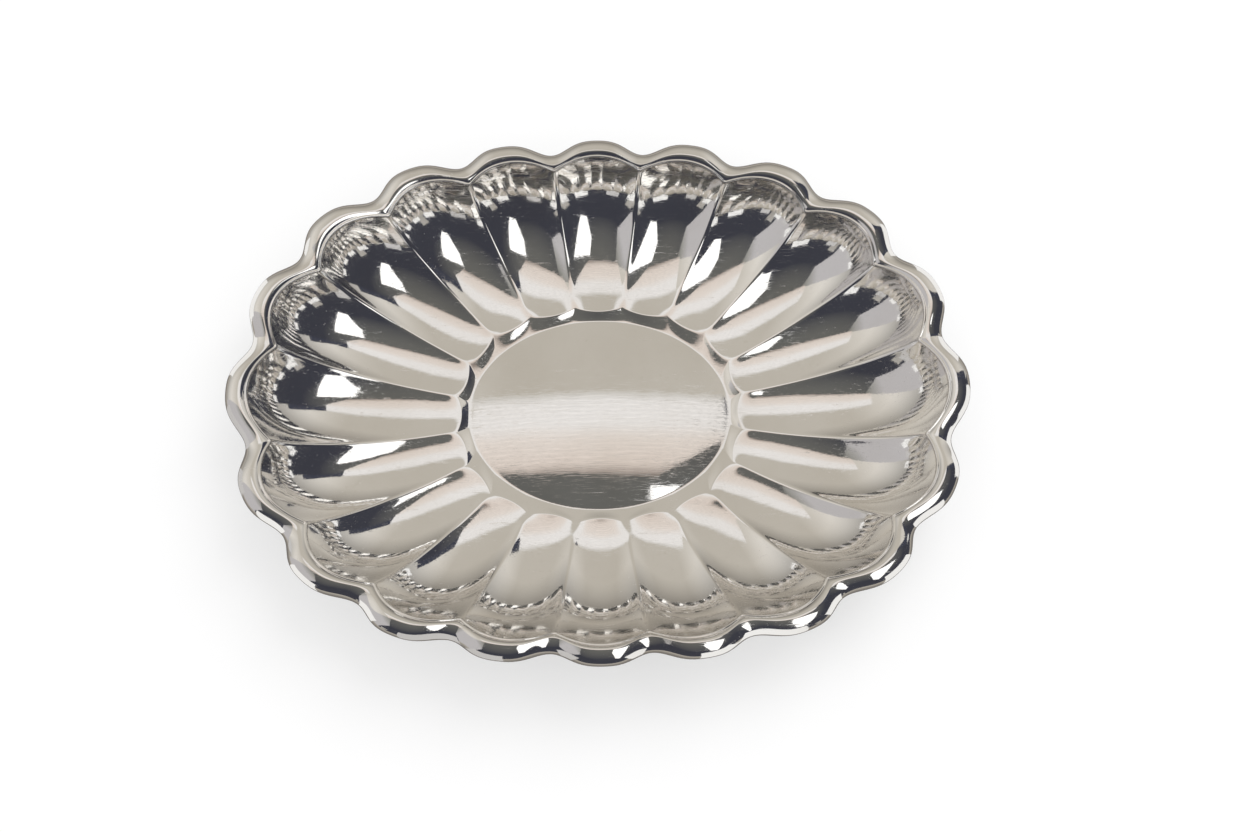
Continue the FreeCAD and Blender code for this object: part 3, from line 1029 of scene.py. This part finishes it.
@dataclass
class Studio:
    """Plain pale floor, soft light all round, and the cards that shape the reflections."""

    floor_size: float = 6.0
    floor_white: tuple[float, float, float] = (0.93, 0.93, 0.93)
    floor_mirrored: tuple[float, float, float] = (0.44, 0.41, 0.37)
    # Painted shadow: mirror rays see the floor's glow turn to this dark colour near the plate, in place of
    # the plate's own shadow.
    floor_painted_shadow: tuple[float, float, float] = (0.16, 0.15, 0.14)
    floor_roughness: float = 0.9
    floor_specular: float = 0.1
    floor_glow: float = 0.95
    floor_glow_share: float = 0.5
    painted_shadow_narrowing: float = 0.72
    painted_shadow_inner: float = 0.11
    painted_shadow_outer: float = 0.28
    card_height: float = 0.60
    card_gap: float = 0.02
    wall_reach: float = 1.8
    dome_radius: float = 2.4
    dome_steps: int = 48
    dome_rows: int = 12
    stripe_scale: float = 22.0
    window_length: float = 0.200
    window_width: float = 0.158
    key_power: float = 6.0
    key_size: float = 0.8
    key_place: tuple[float, float, float] = (0.5, 0.6, 1.1)

    def _floor(self) -> None:
        """Pale floor under the plate."""
        half = 0.5 * self.floor_size
        mesh = bpy.data.meshes.new("floor")
        corners = [(-half, -half, 0.0), (half, -half, 0.0), (half, half, 0.0), (-half, half, 0.0)]
        mesh.from_pydata(corners, [], [(0, 1, 2, 3)])
        floor = bpy.data.objects.new("floor", mesh)
        bpy.context.scene.collection.objects.link(floor)
        mesh.materials.append(self._floor_paper())

    def _floor_paper(self) -> bpy.types.Material:
        """Pale paper, which polished metal sees as an even warm grey glow, with a painted shadow near the
        plate.

        Returns:
            The new material.
        """
        material = bpy.data.materials.new("floor_paper")
        material.use_nodes = True
        wiring = Wiring(material.node_tree)
        shader = material.node_tree.nodes["Principled BSDF"]
        shader.inputs["Roughness"].default_value = self.floor_roughness
        shader.inputs["Specular IOR Level"].default_value = self.floor_specular
        shader.inputs["Base Color"].default_value = (*self.floor_white, 1.0)
        place = wiring.add("ShaderNodeTexCoord").outputs["Object"]
        place = wiring.stretch(place, 0.0, (self.painted_shadow_narrowing, 1.0, 1.0))
        length = wiring.add("ShaderNodeVectorMath", operation="LENGTH")
        wiring.join(place, length.inputs[0])
        # Painted shadow: the glow that mirror rays see turns darker close to the plate's middle, standing in
        # for the plate's shadow on the floor.
        shade = wiring.add("ShaderNodeMix", data_type="RGBA")
        shade.inputs["A"].default_value = (*self.floor_painted_shadow, 1.0)
        shade.inputs["B"].default_value = (*self.floor_mirrored, 1.0)
        away = wiring.ramp(length.outputs["Value"], self.painted_shadow_inner, self.painted_shadow_outer)
        wiring.join(away, shade.inputs["Factor"])
        mirrored = wiring.add("ShaderNodeEmission")
        wiring.join(shade.outputs["Result"], mirrored.inputs["Color"])
        glow = wiring.add("ShaderNodeEmission")
        glow.inputs["Strength"].default_value = self.floor_glow
        pale = wiring.add("ShaderNodeMixShader")
        pale.inputs["Fac"].default_value = self.floor_glow_share
        wiring.join(shader.outputs["BSDF"], pale.inputs[1])
        wiring.join(glow.outputs["Emission"], pale.inputs[2])
        mix = wiring.add("ShaderNodeMixShader")
        wiring.join(wiring.add("ShaderNodeLightPath").outputs["Is Glossy Ray"], mix.inputs["Fac"])
        wiring.join(pale.outputs["Shader"], mix.inputs[1])
        wiring.join(mirrored.outputs["Emission"], mix.inputs[2])
        wiring.join(mix.outputs["Shader"], material.node_tree.nodes["Material Output"].inputs["Surface"])
        return material

    def _world(self) -> None:
        """Even white surround for the floor's own light."""
        world = bpy.data.worlds.new("surround")
        bpy.context.scene.world = world
        world.use_nodes = True
        background = world.node_tree.nodes["Background"]
        background.inputs["Color"].default_value = (1.0, 1.0, 1.0, 1.0)
        background.inputs["Strength"].default_value = 1.0

    def _dome_mesh(self) -> bpy.types.Mesh:
        """Half sphere over the plate, with its faces turned inward.

        Returns:
            The new mesh.
        """
        points, faces = [], []
        for row in range(self.dome_rows + 1):
            lift = 0.5 * math.pi * row / self.dome_rows
            reach = self.dome_radius * math.cos(lift)
            height = self.dome_radius * math.sin(lift)
            for step in range(self.dome_steps):
                turn = math.tau * step / self.dome_steps
                points.append((reach * math.sin(turn), reach * math.cos(turn), height))
        for row in range(self.dome_rows):
            for step in range(self.dome_steps):
                beside = (step + 1) % self.dome_steps
                low, high = row * self.dome_steps, (row + 1) * self.dome_steps
                faces.append((low + step, high + step, high + beside, low + beside))
        mesh = bpy.data.meshes.new("room")
        mesh.from_pydata(points, [], faces)
        mesh.shade_smooth()
        return mesh

    def _dome(self) -> None:
        """Warm grey room round the plate, darker straight ahead than at the sides."""
        mesh = self._dome_mesh()
        room = bpy.data.objects.new("room", mesh)
        bpy.context.scene.collection.objects.link(room)
        unseen(room)
        material, wiring, glow = glow_material("room")
        ahead = (0.40, 0.375, 0.335)
        beside = (0.66, 0.64, 0.61)
        stops = ((0.0, beside), (0.36, ahead), (0.64, ahead), (1.0, beside))
        tint = Blend("X", -self.dome_radius, self.dome_radius, stops)
        wiring.join(tint.wire(wiring), glow.inputs["Color"])
        split = wiring.add("ShaderNodeSeparateXYZ")
        wiring.join(wiring.add("ShaderNodeTexCoord").outputs["Object"], split.inputs[0])
        height = wiring.ramp(split.outputs["Z"], low=0.1, high=1.5)
        wiring.join(wiring.math("MULTIPLY_ADD", height, 0.80, 0.62), glow.inputs["Strength"])
        mesh.materials.append(material)

    def _panel(self) -> None:
        """Lit blind overhead: finely striped white at the far side, peach at the near side."""
        left, right, near, far = -0.29, 0.28, -0.03, 0.245
        outline = ((left, -0.01), (0.12, near), (right, 0.10), (right, far), (left, far))
        panel = plate_mesh("lit_blind", level(outline, self.card_height))
        material, wiring, glow = glow_material("lit_blind")
        dusk = (0.30, 0.25, 0.22)
        peach = (0.82, 0.73, 0.67)
        cream = (0.88, 0.81, 0.76)
        white = (0.94, 0.92, 0.91)
        grey = (0.66, 0.64, 0.60)
        stops = ((0.0, dusk), (0.14, peach), (0.42, cream), (0.60, white), (0.88, white), (1.0, grey))
        tint = Blend("Y", near, far, stops).wire(wiring)
        stripes = wiring.add("ShaderNodeTexWave", bands_direction="Y")
        stripes.inputs["Scale"].default_value = self.stripe_scale
        wiring.join(wiring.add("ShaderNodeTexCoord").outputs["Object"], stripes.inputs["Vector"])
        shade = wiring.math("MULTIPLY_ADD", stripes.outputs["Fac"], -0.16, 1.04)
        wiring.join(tint, glow.inputs["Color"])
        wiring.join(shade, glow.inputs["Strength"])
        panel.data.materials.append(material)

    def _cards(self) -> None:
        """Cards and softboxes, in metres round the plate."""
        over = self.card_height + self.card_gap
        under = self.card_height - self.card_gap
        far = self.wall_reach
        navy = (0.052, 0.054, 0.070)
        blue = (0.058, 0.062, 0.086)
        lilac = (0.56, 0.545, 0.56)
        white = (1.0, 1.0, 1.0)
        self._dark_ceiling(over)
        right_wall = ((far, -far, 0.0), (far, 0.75, 0.0), (far, 0.62, over), (far, -far, over))
        softbox = ((0.10, -0.23), (0.26, -0.70), (0.45, -0.80), (0.40, -0.06), (0.10, -0.06))
        gap = ((0.285, 0.10), (far, 0.60), (far, 0.95), (0.50, 0.31), (0.285, 0.25))
        Card("navy_wall", right_wall, navy).build()
        wall("dark_wall", (-far, -far), (far, -far), over, navy).build()
        wall("lilac_wall", (-far, -1.3), (-far, 0.25), over, lilac).build()
        wall("corner_wall", (-far, -far), (-far, -1.3), over, navy).build()
        Card("side_softbox", level(softbox, under), white, 1.5).build()
        self._lilac_side(over, lilac)
        Card("navy_gap", level(gap, over), blue).build()
        self._low_windows()

    def _lilac_side(self, height: float, lilac: tuple[float, float, float]) -> None:
        """Lilac ceiling on the left, dark where it borders on the near side.

        Args:
            height: Height of the ceiling in metres.
            lilac: Its colour away from the plate.
        """
        far = self.wall_reach
        outline = ((-far, -1.3), (-0.46, -0.44), (-0.24, 0.0), (-far, 0.25))
        ceiling = plate_mesh("lilac_side", level(outline, height))
        material, wiring, glow = glow_material("lilac_side")
        ash = (0.38, 0.375, 0.36)
        slate = (0.24, 0.238, 0.22)
        stops = ((0.0, lilac), (0.66, lilac), (0.90, ash), (1.0, slate))
        wiring.join(Blend("X", -1.0, -0.26, stops).wire(wiring), glow.inputs["Color"])
        ceiling.data.materials.append(material)

    def _low_windows(self) -> None:
        """Low white and grey cards round the plate, which break up its outer roll."""
        white, grey = (1.0, 1.0, 1.0), (0.62, 0.61, 0.61)
        spans = (
            (13.0, 31.0, 0.066, white),
            (44.0, 62.0, 0.064, white),
            (76.0, 94.0, 0.060, white),
            (108.0, 128.0, 0.060, white),
            (-30.0, -13.0, 0.064, grey),
            (-60.0, -44.0, 0.062, white),
            (-88.0, -72.0, 0.060, grey),
            (-122.0, -102.0, 0.060, white),
        )
        for number, (start, end, height, colour) in enumerate(spans):
            ends = []
            for turn in (math.radians(start), math.radians(end)):
                ends.append((self.window_length * math.sin(turn), -self.window_width * math.cos(turn)))
            wall("low_window_%d" % number, *ends, height, colour).build()

    def _dark_ceiling(self, height: float) -> None:
        """Dark ceiling over the near side: slate overhead, passing to navy far off.

        Args:
            height: Height of the ceiling in metres.
        """
        far = self.wall_reach
        left = ((-0.24, 0.0), (-0.46, -0.44), (-far, -1.3), (-far, -far))
        right = ((far, -far), (far, 0.62), (0.28, 0.16), (0.28, 0.12), (0.12, 0.0))
        ceiling = plate_mesh("dark_ceiling", level(left + right, height))
        material, wiring, glow = glow_material("dark_ceiling")
        slate = (0.145, 0.145, 0.138)
        navy = (0.050, 0.052, 0.068)
        length = wiring.add("ShaderNodeVectorMath", operation="LENGTH")
        place = wiring.add("ShaderNodeTexCoord").outputs["Object"]
        wiring.join(wiring.stretch(place, 0.0, (1.0, 1.0, 0.0)), length.inputs[0])
        shade = wiring.add("ShaderNodeMix", data_type="RGBA")
        shade.inputs["A"].default_value = (*slate, 1.0)
        shade.inputs["B"].default_value = (*navy, 1.0)
        away = wiring.ramp(length.outputs["Value"], low=0.12, high=0.75)
        wiring.join(away, shade.inputs["Factor"])
        wiring.join(shade.outputs["Result"], glow.inputs["Color"])
        ceiling.data.materials.append(material)

    def _key(self) -> None:
        """One soft key light, aimed at the plate and not mirrored in it."""
        light = bpy.data.lights.new("key", "AREA")
        light.energy = self.key_power
        light.size = self.key_size
        key = bpy.data.objects.new("key", light)
        key.location = self.key_place
        key.rotation_euler = (-key.location).to_track_quat("-Z", "Y").to_euler()
        key.visible_glossy = False
        bpy.context.scene.collection.objects.link(key)

    def build(self) -> None:
        """Make the floor, the surround, the cards and one soft key light."""
        self._floor()
        self._world()
        self._dome()
        self._panel()
        self._cards()
        self._key()


@dataclass(frozen=True)
class ViewCamera:
    """Camera that looks down on the plate from in front, with a slight roll."""

    elevation: float = 73.70
    azimuth: float = -2.83
    roll: float = 2.06
    distance: float = 566.0
    right_shift: float = 10.7
    up_shift: float = -6.4
    aim_height: float = 20.0
    lens: float = 37.41
    sensor: float = 36.0
    nearest: float = 0.01

    def build(self) -> None:
        """Make the camera and use it for the scene."""
        tilt, turn, roll = (math.radians(size) for size in (self.elevation, self.azimuth, self.roll))
        back = Vector((math.sin(turn) * math.cos(tilt), -math.cos(turn) * math.cos(tilt), math.sin(tilt)))
        level = Vector((math.cos(turn), math.sin(turn), 0.0))
        upright = back.cross(level)
        right = level * math.cos(roll) + upright * math.sin(roll)
        above = upright * math.cos(roll) - level * math.sin(roll)
        place = back * self.distance + right * self.right_shift + above * self.up_shift
        place = (place + Vector((0.0, 0.0, self.aim_height))) * MILLIMETRE
        axes = Matrix((right, above, back)).transposed().to_4x4()
        data = bpy.data.cameras.new("view")
        data.lens = self.lens
        data.sensor_width = self.sensor
        data.clip_start = self.nearest
        camera = bpy.data.objects.new("view", data)
        camera.matrix_world = Matrix.Translation(place) @ axes
        bpy.context.scene.collection.objects.link(camera)
        bpy.context.scene.camera = camera


# ---------------------------------------------------------------- assembly


def main() -> None:
    """Build every piece in order, dress it and report it."""
    logging.basicConfig(level=logging.INFO, format="%(name)s: %(message)s")
    marks = polishing_marks_group()
    tarnish = tarnish_group()
    dish = FlutedDish(FluteLayout())
    sheet = dish.build()
    sheet.data.materials.append(PolishedPlate("silver_plate_dish").build(marks, tarnish))
    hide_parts(Node.DISH.value)
    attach(sheet, BODY)
    LOG.info("%s: %d vertices", sheet.name, len(sheet.data.vertices))
    border = RimBorder(dish).build()
    border.data.materials.append(PolishedPlate("silver_plate_border").build(marks, tarnish))
    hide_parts(Node.BORDER.value)
    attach(border, BODY)
    LOG.info("%s: %d vertices", border.name, len(border.data.vertices))
    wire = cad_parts[Node.WIRE.value]
    wire.data.materials.clear()
    wire.data.materials.append(DrawnWire().build(marks, tarnish))
    LOG.info("%s: kept, new finish", wire.name)
    Studio().build()
    ViewCamera().build()
    bpy.context.scene.view_settings.view_transform = "Standard"


if __name__ == "__main__":
    main()
